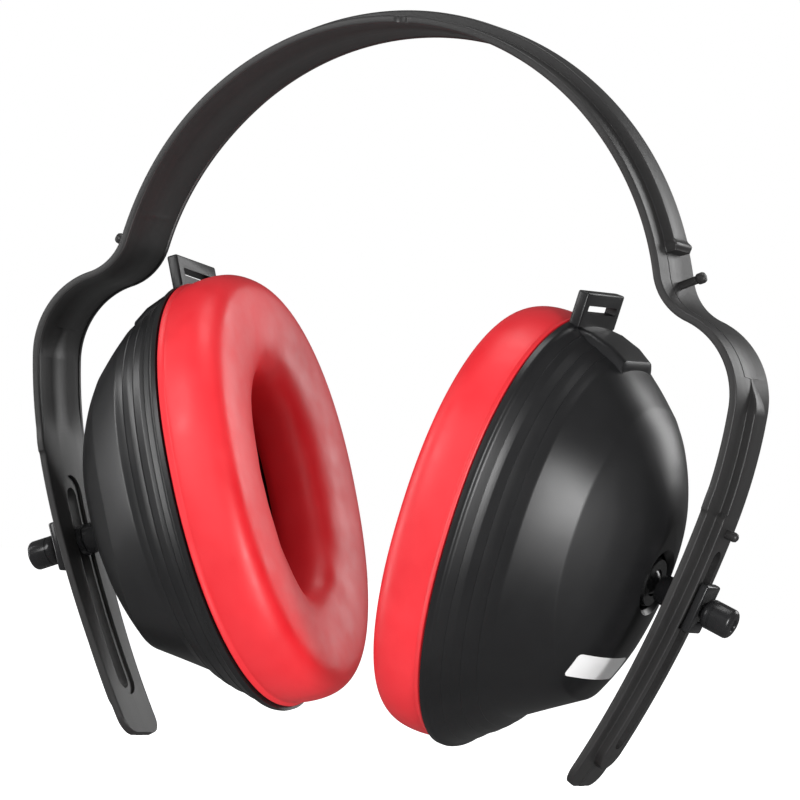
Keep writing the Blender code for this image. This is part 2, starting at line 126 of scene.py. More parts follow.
def room_light(name, strength):
    made = tree.nodes.new("ShaderNodeBackground")
    made.label = name
    made.inputs["Color"].default_value = (1.0, 1.0, 1.0, 1.0)
    made.inputs["Strength"].default_value = strength
    return made.outputs[0]


def either(ray, others, this):
    made = tree.nodes.new("ShaderNodeMixShader")
    tree.links.new(rays.outputs[ray], made.inputs["Fac"])
    tree.links.new(others, made.inputs[1])
    tree.links.new(this, made.inputs[2])
    return made.outputs[0]


shone = either("Is Glossy Ray", room_light("soft light", 0.36), room_light("seen in gloss", 0.13))
seen = either("Is Camera Ray", shone, room_light("backdrop", 1.0))
tree.links.new(seen, tree.nodes.new("ShaderNodeOutputWorld").inputs["Surface"])
bpy.context.scene.world = world

# %% [markdown]
# The floor is a plain pale disc. Earmuffs hang from their band, and the cups slide a good way down it, so the
# floor lies below the lowest place that a cup can reach.

# %% Floor
FLOOR_BELOW = 0.036
floor_mesh = bpy.data.meshes.new("floor")
floor_builder = bmesh.new()
bmesh.ops.create_circle(floor_builder, cap_ends=True, radius=9.0, segments=96)
floor_builder.to_mesh(floor_mesh)
floor_builder.free()
floor = bpy.data.objects.new("floor", floor_mesh)
floor.location.z = CAD_BOX[0][2] - FLOOR_BELOW
bpy.context.scene.collection.objects.link(floor)
floor_paint = bpy.data.materials.new("pale_floor")
floor_paint.use_nodes = True
floor_shader = floor_paint.node_tree.nodes["Principled BSDF"]
floor_shader.inputs["Base Color"].default_value = (0.93, 0.93, 0.93, 1.0)
floor_shader.inputs["Roughness"].default_value = 0.95
floor_shader.inputs["Specular IOR Level"].default_value = 0.0
floor_shader.inputs["Emission Color"].default_value = (1.0, 1.0, 1.0, 1.0)
floor_rays = floor_paint.node_tree.nodes.new("ShaderNodeLightPath")
floor_glow = floor_paint.node_tree.nodes.new("ShaderNodeMath")
floor_glow.operation = "MULTIPLY"
floor_glow.inputs[1].default_value = 0.9
floor_paint.node_tree.links.new(floor_rays.outputs["Is Camera Ray"], floor_glow.inputs[0])
floor_paint.node_tree.links.new(floor_glow.outputs[0], floor_shader.inputs["Emission Strength"])
floor_mesh.materials.append(floor_paint)
floor.visible_glossy = False
floor.visible_shadow = False

# %% [markdown]
# Moulded plastic is never one flat colour. The mould leaves a fine spark grain, the melt leaves faint flow
# streaks, and handling leaves a little dust and rubs. All of the black pieces share this, so it is one node
# group with values, and each material places it with its own numbers.

# %% Shared effect: moulded plastic
def new_group(name, inputs, outputs):
    group = bpy.data.node_groups.new(name, "ShaderNodeTree")
    for label, kind, value in inputs:
        socket = group.interface.new_socket(label, in_out="INPUT", socket_type=kind)
        socket.default_value = value
    for label, kind in outputs:
        group.interface.new_socket(label, in_out="OUTPUT", socket_type=kind)
    entry = group.nodes.new("NodeGroupInput")
    leave = group.nodes.new("NodeGroupOutput")
    return group, entry, leave


def add_noise(nodes, links, coordinates, scale, detail, roughness=0.5):
    made = nodes.new("ShaderNodeTexNoise")
    made.inputs["Detail"].default_value = detail
    made.inputs["Roughness"].default_value = roughness
    if isinstance(scale, (int, float)):
        made.inputs["Scale"].default_value = scale
    else:
        links.new(scale, made.inputs["Scale"])
    links.new(coordinates, made.inputs["Vector"])
    return made.outputs["Fac"]


def add_range(nodes, links, value, low, high, new_low, new_high):
    made = nodes.new("ShaderNodeMapRange")
    made.inputs["From Min"].default_value = low
    made.inputs["From Max"].default_value = high
    for socket, amount in (("To Min", new_low), ("To Max", new_high)):
        if isinstance(amount, (int, float)):
            made.inputs[socket].default_value = amount
        else:
            links.new(amount, made.inputs[socket])
    links.new(value, made.inputs["Value"])
    return made.outputs["Result"]


def add_math(nodes, links, operation, first, second):
    made = nodes.new("ShaderNodeMath")
    made.operation = operation
    for index, amount in enumerate((first, second)):
        if isinstance(amount, (int, float)):
            made.inputs[index].default_value = amount
        else:
            links.new(amount, made.inputs[index])
    return made.outputs[0]


def make_plastic_group():
    group, entry, leave = new_group(
        "moulded_plastic",
        (
            ("Dark", "NodeSocketColor", (0.012, 0.012, 0.0125, 1.0)),
            ("Light", "NodeSocketColor", (0.030, 0.030, 0.031, 1.0)),
            ("Grain Scale", "NodeSocketFloat", 2600.0),
            ("Streak", "NodeSocketFloat", 0.5),
            ("Wear", "NodeSocketFloat", 0.3),
            ("Gloss Low", "NodeSocketFloat", 0.30),
            ("Gloss High", "NodeSocketFloat", 0.42),
        ),
        (("Color", "NodeSocketColor"), ("Roughness", "NodeSocketFloat"), ("Height", "NodeSocketFloat")),
    )
    nodes, links = group.nodes, group.links
    where = nodes.new("ShaderNodeTexCoord").outputs["Object"]
    grain = add_noise(nodes, links, where, entry.outputs["Grain Scale"], 3.0, 0.6)
    clouds = add_noise(nodes, links, where, 55.0, 4.0, 0.55)
    stretch = nodes.new("ShaderNodeMapping")
    stretch.inputs["Scale"].default_value = (9.0, 620.0, 9.0)
    links.new(where, stretch.inputs["Vector"])
    streaks = add_noise(nodes, links, stretch.outputs["Vector"], 1.0, 3.0, 0.6)
    streaks = add_math(nodes, links, "MULTIPLY", streaks, entry.outputs["Streak"])
    edge = nodes.new("ShaderNodeNewGeometry").outputs["Pointiness"]
    edge = add_range(nodes, links, edge, 0.515, 0.60, 0.0, 1.0)
    edge = add_math(nodes, links, "MULTIPLY", edge, clouds)
    edge = add_math(nodes, links, "MULTIPLY", edge, entry.outputs["Wear"])
    tone = add_math(nodes, links, "MULTIPLY", clouds, 0.55)
    tone = add_math(nodes, links, "ADD", tone, streaks)
    tone = add_math(nodes, links, "ADD", tone, edge)
    mix = nodes.new("ShaderNodeMix")
    mix.data_type = "RGBA"
    links.new(tone, mix.inputs["Factor"])
    links.new(entry.outputs["Dark"], mix.inputs["A"])
    links.new(entry.outputs["Light"], mix.inputs["B"])
    links.new(mix.outputs["Result"], leave.inputs["Color"])
    rough = add_math(nodes, links, "ADD", clouds, streaks)
    rough = add_range(
        nodes, links, rough, 0.35, 1.0, entry.outputs["Gloss Low"], entry.outputs["Gloss High"]
    )
    links.new(rough, leave.inputs["Roughness"])
    height = add_math(nodes, links, "MULTIPLY", streaks, 0.5)
    height = add_math(nodes, links, "ADD", height, grain)
    links.new(height, leave.inputs["Height"])
    return group


PLASTIC = make_plastic_group()
print("node group", PLASTIC.name, "with", len(PLASTIC.nodes), "nodes")

# %% Shared effect: soft surface
def make_soft_group():
    """Slow colour clouds, fine pores and broad puckers, for the vinyl skin and the foam."""
    group, entry, leave = new_group(
        "soft_surface",
        (
            ("Deep", "NodeSocketColor", (0.55, 0.012, 0.018, 1.0)),
            ("Bright", "NodeSocketColor", (0.80, 0.035, 0.045, 1.0)),
            ("Pore Scale", "NodeSocketFloat", 1500.0),
            ("Gloss Low", "NodeSocketFloat", 0.36),
            ("Gloss High", "NodeSocketFloat", 0.50),
        ),
        (("Color", "NodeSocketColor"), ("Roughness", "NodeSocketFloat"), ("Height", "NodeSocketFloat")),
    )
    nodes, links = group.nodes, group.links
    where = nodes.new("ShaderNodeTexCoord").outputs["Object"]
    clouds = add_noise(nodes, links, where, 38.0, 3.0, 0.5)
    puckers = add_noise(nodes, links, where, 150.0, 2.0, 0.5)
    pores = nodes.new("ShaderNodeTexVoronoi")
    links.new(entry.outputs["Pore Scale"], pores.inputs["Scale"])
    links.new(where, pores.inputs["Vector"])
    mix = nodes.new("ShaderNodeMix")
    mix.data_type = "RGBA"
    links.new(add_range(nodes, links, clouds, 0.3, 0.7, 0.0, 1.0), mix.inputs["Factor"])
    links.new(entry.outputs["Deep"], mix.inputs["A"])
    links.new(entry.outputs["Bright"], mix.inputs["B"])
    links.new(mix.outputs["Result"], leave.inputs["Color"])
    rough = add_range(
        nodes, links, puckers, 0.3, 0.7, entry.outputs["Gloss Low"], entry.outputs["Gloss High"]
    )
    links.new(rough, leave.inputs["Roughness"])
    height = add_math(nodes, links, "MULTIPLY", pores.outputs["Distance"], 0.35)
    height = add_math(nodes, links, "ADD", height, puckers)
    links.new(height, leave.inputs["Height"])
    return group


SOFT = make_soft_group()

# %% [markdown]
# The finishes. The headband and the cups are a satin black that differs only a little, the pivots are
# smoother, the cushions are a soft red vinyl, and the liner is a dark open-cell foam.

# %% Finishes
def finish(name, group, values, bump, coat=0.0, coat_roughness=0.2, sheen=0.0):
    made = bpy.data.materials.new(name)
    made.use_nodes = True
    nodes, links = made.node_tree.nodes, made.node_tree.links
    shader = nodes["Principled BSDF"]
    effect = nodes.new("ShaderNodeGroup")
    effect.node_tree = group
    for label, value in values.items():
        effect.inputs[label].default_value = value
    relief = nodes.new("ShaderNodeBump")
    relief.inputs["Strength"].default_value = bump[0]
    relief.inputs["Distance"].default_value = bump[1]
    links.new(effect.outputs["Height"], relief.inputs["Height"])
    links.new(effect.outputs["Color"], shader.inputs["Base Color"])
    links.new(effect.outputs["Roughness"], shader.inputs["Roughness"])
    links.new(relief.outputs["Normal"], shader.inputs["Normal"])
    shader.inputs["Coat Weight"].default_value = coat
    shader.inputs["Coat Roughness"].default_value = coat_roughness
    shader.inputs["Sheen Weight"].default_value = sheen
    return made


BAND_BLACK = finish(
    "band_black", PLASTIC,
    {"Dark": (0.010, 0.010, 0.010, 1), "Light": (0.030, 0.029, 0.029, 1), "Streak": 0.75,
     "Wear": 0.5, "Gloss Low": 0.30, "Gloss High": 0.44},
    (0.10, 0.00012),
)
CUP_BLACK = finish(
    "cup_black", PLASTIC,
    {"Dark": (0.007, 0.007, 0.0075, 1), "Light": (0.020, 0.020, 0.021, 1), "Streak": 0.10,
     "Wear": 0.4, "Gloss Low": 0.31, "Gloss High": 0.40},
    (0.08, 0.00010),
)
PIVOT_BLACK = finish(
    "pivot_black", PLASTIC,
    {"Dark": (0.007, 0.007, 0.0075, 1), "Light": (0.022, 0.022, 0.023, 1), "Streak": 0.05,
     "Wear": 0.5, "Gloss Low": 0.20, "Gloss High": 0.32},
    (0.05, 0.00008),
)
CUSHION_RED = finish(
    "cushion_red", SOFT,
    {"Deep": (0.66, 0.014, 0.022, 1), "Bright": (0.78, 0.024, 0.034, 1)},
    (0.10, 0.00018), coat=0.06, coat_roughness=0.35,
)
FOAM_GREY = finish(
    "foam_grey", SOFT,
    {"Deep": (0.012, 0.011, 0.011, 1), "Bright": (0.035, 0.033, 0.033, 1), "Pore Scale": 900.0,
     "Gloss Low": 0.85, "Gloss High": 0.98},
    (0.9, 0.0009),
)
LABEL_WHITE = finish(
    "label_white", SOFT,
    {"Deep": (0.72, 0.72, 0.72, 1), "Bright": (0.84, 0.84, 0.84, 1), "Gloss Low": 0.35, "Gloss High": 0.5},
    (0.04, 0.00005),
)
print("finishes:", [m.name for m in bpy.data.materials])

# %% [markdown]
# Every hard piece is made in one of three ways: rings joined into a skin, a profile turned round an axis, or
# a box with softened edges. Real mouldings have no sharp edges, so corners are rounded before the rings are
# joined, which costs less than bevelling afterwards and never fails.

# %% Mesh helpers
def add_piece(name, builder, material=None, smooth=38.0, matrix=None):
    bmesh.ops.recalc_face_normals(builder, faces=builder.faces)
    mesh = bpy.data.meshes.new(name)
    builder.to_mesh(mesh)
    builder.free()
    mesh.shade_smooth()
    mesh.set_sharp_from_angle(angle=math.radians(smooth))
    piece = bpy.data.objects.new(name, mesh)
    bpy.context.scene.collection.objects.link(piece)
    if material:
        mesh.materials.append(material)
    if matrix is not None:
        piece.matrix_world = matrix
    return piece


def skin(rings, close_along=False, caps=True):
    builder = bmesh.new()
    rows = [[builder.verts.new(point) for point in ring] for ring in rings]
    pairs = list(zip(rows, rows[1:]))
    if close_along:
        pairs.append((rows[-1], rows[0]))
    count = len(rows[0])
    for near, far in pairs:
        for i in range(count):
            j = (i + 1) % count
            builder.faces.new((near[i], near[j], far[j], far[i]))
    if caps and not close_along:
        builder.faces.new(list(reversed(rows[0])))
        builder.faces.new(rows[-1])
    return builder


def turned(profile, steps=64):
    """A solid turned about local X. The profile, in mm, starts and ends on the axis, or closes on itself."""
    on_axis = profile[0][1] == 0.0
    builder = bmesh.new()
    rows = []
    for x, r in profile[1:-1] if on_axis else profile:
        angles = [2 * math.pi * k / steps for k in range(steps)]
        rows.append([builder.verts.new((x * MM, r * MM * math.cos(a), r * MM * math.sin(a))) for a in angles])
    pairs = list(zip(rows, rows[1:])) + ([] if on_axis else [(rows[-1], rows[0])])
    for near, far in pairs:
        for k in range(steps):
            j = (k + 1) % steps
            builder.faces.new((near[k], near[j], far[j], far[k]))
    if on_axis:
        for point, row in ((profile[0], rows[0]), (profile[-1], rows[-1])):
            tip = builder.verts.new((point[0] * MM, 0.0, 0.0))
            for k in range(steps):
                builder.faces.new((tip, row[(k + 1) % steps], row[k]))
    return builder


def round_corners(points, radii, steps=3, closed=True):
    """Replaces each corner of an outline with a short curve that starts its radius away on both sides."""
    made = []
    count = len(points)
    for i, corner in enumerate(points):
        if radii[i] <= 0 or (not closed and i in (0, count - 1)):
            made.append(corner)
            continue
        before, after = points[i - 1], points[(i + 1) % count]
        start = corner + (before - corner) * min(radii[i] / max((before - corner).length, 1e-9), 0.46)
        stop = corner + (after - corner) * min(radii[i] / max((after - corner).length, 1e-9), 0.46)
        for k in range(steps + 1):
            t = k / steps
            made.append(start * (1 - t) ** 2 + corner * 2 * t * (1 - t) + stop * t * t)
    return made


def soft_block(low, high, radius, segments=3):
    builder = bmesh.new()
    bmesh.ops.create_cube(builder, size=1.0)
    for vert in builder.verts:
        for axis in range(3):
            vert.co[axis] = high[axis] if vert.co[axis] > 0 else low[axis]
    bmesh.ops.bevel(
        builder, geom=list(builder.edges), offset=radius, segments=segments, affect="EDGES", profile=0.5
    )
    return builder


def cut_or_join(target, tools, operation):
    """Applies each tool to the target with an exact Boolean, then takes the tool away."""
    for tool in tools:
        step = target.modifiers.new("step", "BOOLEAN")
        step.object = tool
        step.operation = operation
        step.solver = "EXACT"
        ready = bpy.data.meshes.new_from_object(target.evaluated_get(bpy.context.evaluated_depsgraph_get()))
        target.modifiers.clear()
        old = target.data
        target.data = ready
        bpy.data.meshes.remove(old)
        bpy.data.objects.remove(tool, do_unlink=True)


def hand_over(piece, body, slot, *nodes):
    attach(piece, body)
    if nodes:
        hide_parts(*nodes)
    return piece


# %% [markdown]
# The headband is one moulding. Its middle line runs in true arcs from the crown down one side: a flat crown,
# the side of the arch, a neck that bends back outwards, a shoulder, and the long slotted leg. The same line
# gives every other piece its place, because the pivots stand on the leg.

# %% The middle line of the headband
BAND_ARCS = (
    (71.5, 30.0), (74.5, 77.0), (13.8, 20.0), (20.2, 95.0), (130.0, 107.3), (296.0, 121.0),
)
BAND_THICK = 1.9
BAND_WIDTHS = ((0, 28.0), (55, 26.0), (97, 23.4), (165, 22.6), (236, 18.0))
ARCH_RIB = (9.6, 2.5)
LEG_RIB = (7.4, 2.3)
ARCH_RIB_END, LEG_RIB_START, LEG_RIB_FULL, GUIDE_START = 93.0, 131.0, 139.0, 163.0
GUIDE_HALF, TIP_ROUND, TONGUE = 4.9, 4.5, 6.5
SLOT_HALF, SLOT_FROM, SLOT_TO = 2.4, 172.0, 225.0
PEG_AT, NUB_AT, PIVOT_AT = 101.0, 167.5, 186.0


def band_point(along):
    """Place in mm, outward normal, at a distance in mm along the right half of the middle line."""
    place = Vector((0.0, 0.0, BAND_THICK / 2))
    angle = 0.0
    left = along
    for radius, end_degrees in BAND_ARCS:
        end = math.radians(end_degrees)
        turn = 1.0 if end > angle else -1.0
        step = min(left, abs(end - angle) * radius)
        stop = angle + turn * step / radius
        place = place + Vector((
            radius * turn * (math.sin(stop) - math.sin(angle)), 0.0,
            radius * turn * (math.cos(stop) - math.cos(angle)),
        ))
        angle = stop
        left -= step
        if left <= 1e-6:
            break
    return place, Vector((math.sin(angle), 0.0, math.cos(angle)))


def band_length():
    total, angle = 0.0, 0.0
    for radius, end_degrees in BAND_ARCS:
        total += abs(math.radians(end_degrees) - angle) * radius
        angle = math.radians(end_degrees)
    return total


BAND_END = band_length()
print("half of the headband is", round(BAND_END, 1), "mm long")

# %% [markdown]
# Across its width the band is a T: a thin flange with a rib on the outer face. The inner face carries shallow
# step lines and a groove inside each rim. The section changes along the band, so a function gives the width
# and the rib at each distance, and the eight main corners are rounded before they are joined.

# %% The headband's section
def ease(t):
    t = min(max(t, 0.0), 1.0)
    return t * t * (3 - 2 * t)


def band_half_width(along):
    half = BAND_WIDTHS[-1][1] / 2
    for (a0, w0), (a1, w1) in zip(BAND_WIDTHS, BAND_WIDTHS[1:]):
        if along <= a1:
            half = (w0 + (w1 - w0) * ease((along - a0) / (a1 - a0))) / 2
            break
    into_tip = along - (BAND_END - TIP_ROUND)
    if into_tip > 0:
        half += math.sqrt(max(TIP_ROUND**2 - into_tip**2, 0.0)) - TIP_ROUND
    return half


def rib_size(along):
    """Half width and height of the rib in mm. The arch rib ends in a small cross bump."""
    none = 0.12
    if along < ARCH_RIB_END:
        bump = 0.7 * math.exp(-((along - ARCH_RIB_END + 1.4) / 0.9) ** 2)
        return ARCH_RIB[0] / 2 + 0.8 * bump, ARCH_RIB[1] + bump
    if along < LEG_RIB_START:
        return ARCH_RIB[0] / 2, none
    if along < LEG_RIB_FULL:
        t = (along - LEG_RIB_START) / (LEG_RIB_FULL - LEG_RIB_START)
        return LEG_RIB[0] / 2 * (0.15 + 0.85 * t), none + (LEG_RIB[1] - none) * ease(t)
    if along < GUIDE_START:
        return LEG_RIB[0] / 2, LEG_RIB[1]
    end = BAND_END - TONGUE
    if along < end:
        into_round = along - (end - GUIDE_HALF)
        widen = ease((along - GUIDE_START) / 1.2)
        half = LEG_RIB[0] / 2 + (GUIDE_HALF - LEG_RIB[0] / 2) * widen
        if into_round > 0:
            half = math.sqrt(max(GUIDE_HALF**2 - into_round**2, 1.6**2))
        return half, LEG_RIB[1]
    return 1.6, none


def front_rim_change(along):
    """The front rim has a small notch at the crown and a short tab above the slot, in mm."""
    notch = -0.9 * math.exp(-((along / 1.3) ** 4))
    tab = 0.45 * ease((along - 157.0) / 4.0) * (1 - ease((along - 163.0) / 0.5))
    return notch + tab


def band_section(along, side):
    place, normal = band_point(along)
    half = band_half_width(along)
    rib_half, rib_high = rib_size(along)
    front = half + front_rim_change(along)
    low, shelf = -BAND_THICK / 2, BAND_THICK / 2
    fade = 1.0 - ease((along - 150.0) / 12.0)
    lift = 0.26 * fade
    step = 0.18 * fade
    foot, crest = 0.35 * min(1, rib_high), 0.5 * min(1, rib_high)
    corners = [
        (-front, low, 0.45), (-front + 1.1, low, 0), (-front + 1.35, low + lift, 0),
        (-front + 1.7, low + lift, 0), (-front + 1.95, low + step, 0), (-rib_half - 0.9, low + step, 0),
        (-rib_half - 0.6, low, 0), (rib_half + 0.6, low, 0), (rib_half + 0.9, low + step, 0),
        (half - 1.95, low + step, 0), (half - 1.7, low + lift, 0), (half - 1.35, low + lift, 0),
        (half - 1.1, low, 0), (half, low, 0.45), (half, shelf, 0.45), (rib_half, shelf, foot),
        (rib_half, shelf + rib_high, crest), (-rib_half, shelf + rib_high, crest),
        (-rib_half, shelf, foot), (-front, shelf, 0.45),
    ]
    outline = [Vector((y, off, 0.0)) for y, off, _ in corners]
    outline = round_corners(outline, [radius for _, _, radius in corners])
    ring = []
    for point in outline:
        world_point = place + normal * point.y
        ring.append(Vector((side * world_point.x, point.x, world_point.z)) * MM)
    return ring


# %% Headband stations, slot and small features
def band_stations():
    stops = {0.0, 0.6, 1.0, 1.3, 1.7, 2.2}
    stops |= {1.2 * k for k in range(1, int(BAND_END / 1.2))}
    guide_end = BAND_END - TONGUE
    for edge in (ARCH_RIB_END, GUIDE_START, guide_end):
        stops |= {edge - 0.9, edge - 0.5, edge - 0.2, edge - 0.02, edge, edge + 0.3, edge + 0.8}
    stops |= {ARCH_RIB_END - 2.6, ARCH_RIB_END - 2.0, ARCH_RIB_END - 1.4, LEG_RIB_START, LEG_RIB_FULL}
    stops |= {guide_end - GUIDE_HALF * share for share in (1.0, 0.8, 0.6, 0.4, 0.25, 0.12)}
    tip_shares = (0, 0.2, 0.4, 0.6, 0.75, 0.86, 0.93, 0.98, 0.995)
    stops |= {BAND_END - TIP_ROUND * (1 - share) for share in tip_shares}
    kept = []
    for stop in sorted(s for s in stops if s < BAND_END - 0.02):
        if not kept or stop - kept[-1] > 0.015:
            kept.append(stop)
    return kept


def slug(name, side, half, low, high, start, end):
    """A round-ended cutter that follows the leg between two distances."""
    rings = []
    for k in range(33):
        along = start + (end - start) * (0.5 - 0.5 * math.cos(math.pi * k / 32))
        nearest = min(along - start, end - along)
        width = half
        if nearest < half:
            width = math.sqrt(max(half**2 - (half - nearest) ** 2, 0.09))
        place, normal = band_point(along)
        ring = []
        for y, off in ((-width, low), (width, low), (width, high), (-width, high)):
            point = (place + normal * off) * MM
            ring.append(Vector((side * point.x, y * MM, point.z)))
        rings.append(ring)
    return add_piece(name, skin(rings))


def on_band(along, side):
    place, normal = band_point(along)
    outward = Vector((side * normal.x, 0.0, normal.z))
    forward = Vector((0.0, side * 1.0, 0.0))
    turn = Matrix((outward, forward, outward.cross(forward))).transposed().to_4x4()
    return Matrix.Translation(Vector((side * place.x, 0.0, place.z)) * MM) @ turn


def make_headband():
    stations = band_stations()
    rings = [band_section(along, -1) for along in reversed(stations[1:])]
    rings += [band_section(along, 1) for along in stations]
    band = add_piece("headband_moulding", skin(rings))
    top = BAND_THICK / 2 + LEG_RIB[1]
    peg = ((-0.5, 0.0), (-0.5, 1.0), (5.7, 1.0), (6.0, 1.3), (6.3, 1.36), (7.4, 1.36), (7.9, 1.1),
           (8.15, 0.5), (8.2, 0.0))
    nub = ((1.0, 0.0), (1.0, 1.2), (5.4, 1.2), (6.0, 1.0), (6.35, 0.5), (6.4, 0.0))
    joins, cuts = [], []
    for side, word in ((1, "right"), (-1, "left")):
        joins.append(add_piece(f"peg_{word}", turned(peg, 28), matrix=on_band(PEG_AT, side)))
        joins.append(add_piece(f"nub_{word}", turned(nub, 28), matrix=on_band(NUB_AT, side)))
        cuts.append(slug(f"slot_{word}", side, SLOT_HALF, -3, top + 2, SLOT_FROM, SLOT_TO))
        cuts.append(slug(f"track_{word}", side, 4.2, -3, 0.7 - BAND_THICK / 2, SLOT_FROM - 3, SLOT_TO + 2))
    dimple = ((-3.0, 0.0), (-3.0, 1.0), (-0.75, 1.0), (-0.45, 0.7), (-0.4, 0.0))
    cuts.append(add_piece("crown_dimple", turned(dimple, 28), matrix=on_band(7.5, 1)))
    cut_or_join(band, joins, "UNION")
    cut_or_join(band, cuts, "DIFFERENCE")
    band.data.materials.clear()
    band.data.materials.append(BAND_BLACK)
    band.data.set_sharp_from_angle(angle=math.radians(38))
    return band


headband = hand_over(make_headband(), "headband", "band_black", "headband")
print("headband moulding:", len(headband.data.polygons), "faces")

# %% [markdown]
# Each side has two frames of its own. The pin's frame stands at the middle of the ball with X out along the
# pin. The cup's frame lies on the rim with X out of the cup; it is tipped and turned the way the cup hangs.

# %% Frames of the pin and the cup
SIDES = {"right": 0.0, "left": math.pi}
HANG = {"right": (14.5, -0.5, 2.5), "left": (19.3, -2.3, 3.0)}
BALL_BEHIND = 11.7
BALL_RADIUS, RACE_INNER, RACE_OUTER, PIN_RADIUS = 4.3, 4.75, 6.7, 1.9
KNOB_RADIUS, KNOB_LENGTH = 3.7, 7.6
RIM_TO_BALL = 33.7


def pin_frame(word):
    place, normal = band_point(PIVOT_AT)
    outward, forward = normal.normalized(), Vector((0.0, 1.0, 0.0))
    turn = Matrix((outward, forward, outward.cross(forward))).transposed().to_4x4()
    here = Matrix.Translation((place - outward * BALL_BEHIND) * MM) @ turn
    return Matrix.Rotation(SIDES[word], 4, "Z") @ here


def cup_frame(word):
    tilt, yaw, spin = (math.radians(angle) for angle in HANG[word])
    turn = Matrix.Rotation(SIDES[word], 4, "Z") @ Matrix.Rotation(tilt, 4, "Y")
    turn = turn @ Matrix.Rotation(-yaw, 4, "Z") @ Matrix.Rotation(spin, 4, "X")
    ball = pin_frame(word).translation
    return Matrix.Translation(ball) @ turn @ Matrix.Translation((-RIM_TO_BALL * MM, 0.0, 0.0))


for word in SIDES:
    print(word, "ball at", [round(v / MM, 1) for v in pin_frame(word).translation])

# %% [markdown]
# The pivot is a pin with a head inside the leg and a knob outside it. The ball sits on the pin's inner end,
# and a split race holds the ball in the cup. All are turned pieces, so each is one profile.

# %% Pivot pieces
LEG = BALL_BEHIND
SEAT = LEG - BAND_THICK / 2 + 0.7
GUIDE_TOP = LEG + BAND_THICK / 2 + LEG_RIB[1]


def make_pivot(word):
    at_pin = pin_frame(word)
    body = f"{word}_slider"
    pin = (
        (-1.5, 0.0), (-1.5, 1.0), (-1.4, 1.1), (BALL_RADIUS + 0.7, 1.1), (BALL_RADIUS + 0.7, 3.2),
        (BALL_RADIUS + 0.95, 3.45), (SEAT - 2.75, 3.95), (SEAT - 2.55, 4.0), (SEAT - 2.25, 3.95),
        (SEAT - 2.2, 3.8), (SEAT - 2.2, PIN_RADIUS), (GUIDE_TOP + 2.6, PIN_RADIUS),
        (GUIDE_TOP + 2.6, 1.2), (GUIDE_TOP + 6.9, 1.2), (GUIDE_TOP + 7.0, 1.1), (GUIDE_TOP + 7.0, 0.0),
    )
    hand_over(add_piece(f"{word}_pin", turned(pin), PIVOT_BLACK, matrix=at_pin), body, "pivot_black",
              f"{word}_pivot_pin")
    bore = 1.4
    edge = math.sqrt(BALL_RADIUS**2 - (bore + 0.3) ** 2)
    ball = [(-BALL_RADIUS, 0.0)]
    for degrees in range(170, 20, -10):
        a = math.radians(degrees)
        if BALL_RADIUS * math.cos(a) < edge - 0.1:
            ball.append((BALL_RADIUS * math.cos(a), BALL_RADIUS * math.sin(a)))
    ball += [(edge, bore + 0.3), (edge, bore), (-1.8, bore), (-1.8, 0.0)]
    hand_over(add_piece(f"{word}_ball", turned(ball), PIVOT_BLACK, matrix=at_pin), f"{word}_ball",
              "pivot_black", f"{word}_pivot_ball")
    washer = (
        (SEAT - 1.9, 3.7), (SEAT - 1.9, 2.4), (SEAT - 1.7, 2.2), (SEAT - 0.5, 2.2), (SEAT - 0.3, 2.4),
        (SEAT - 0.3, 3.7), (SEAT - 0.5, 3.9), (SEAT - 1.7, 3.9),
    )
    hand_over(add_piece(f"{word}_washer", turned(washer), PIVOT_BLACK, matrix=at_pin), body,
              "pivot_black", f"{word}_pivot_washer")
    start = GUIDE_TOP + 3.1
    end = start + KNOB_LENGTH
    knob = (
        (GUIDE_TOP + 7.3, 0.0), (GUIDE_TOP + 7.3, 1.5), (start, 1.5), (start, 3.0), (start + 0.25, 3.3),
        (start + 0.8, 3.6), (start + 1.2, KNOB_RADIUS), (start + 1.9, KNOB_RADIUS), (start + 2.0, 3.55),
        (start + 2.3, 3.55), (start + 2.4, KNOB_RADIUS), (end - 1.1, KNOB_RADIUS), (end - 0.7, 3.58),
        (end - 0.35, 3.3), (end - 0.1, 2.9), (end, 2.5), (end, 1.6), (end - 0.35, 1.4), (end - 0.4, 0.0),
    )
    hand_over(add_piece(f"{word}_end_knob", turned(knob), PIVOT_BLACK, matrix=at_pin), body,
              "pivot_black", f"{word}_knob")
    low = ((GUIDE_TOP + 0.3) * MM, -4.4 * MM, -6.2 * MM)
    high = ((GUIDE_TOP + 2.5) * MM, 4.4 * MM, 6.2 * MM)
    block = add_piece(f"{word}_block", soft_block(low, high, 0.6 * MM), matrix=at_pin)
    hole = ((GUIDE_TOP - 1, 0.0), (GUIDE_TOP - 1, 2.2), (GUIDE_TOP + 4, 2.2), (GUIDE_TOP + 4, 0.0))
    cut_or_join(block, [add_piece("hole", turned(hole, 48), matrix=at_pin)], "DIFFERENCE")
    block.data.materials.clear()
    block.data.materials.append(PIVOT_BLACK)
    hand_over(block, body, "pivot_black", f"{word}_slider_block")


def make_race(word):
    profile = []
    for degrees in range(-30, 31, 6):
        a = math.radians(degrees)
        profile.append((RIM_TO_BALL + RACE_OUTER * math.sin(a), RACE_OUTER * math.cos(a)))
    for degrees in range(44, -45, -8):
        a = math.radians(degrees)
        profile.append((RIM_TO_BALL + RACE_INNER * math.sin(a), RACE_INNER * math.cos(a)))
    race = add_piece(f"{word}_race", turned(profile), PIVOT_BLACK, matrix=cup_frame(word))
    hand_over(race, f"{word}_race", "pivot_black", f"{word}_ball_race")


for word in SIDES:
    make_pivot(word)
    make_race(word)
print("pivot pieces ready on both sides")

# %% [markdown]
# The cup is a deep shell whose ovals shrink in facets: a flare at the rim with fine step lines, a broad facet
# that catches the light, and a low dome round the pivot. The rings say where the facets meet. Each meeting
# gets its own softness: small on the creases and large on the dome.

# %% Ovals and cup rings
OVAL_POWER, EGG, AROUND = 2.18, 0.04, 144
RIM_TOP = 54.2
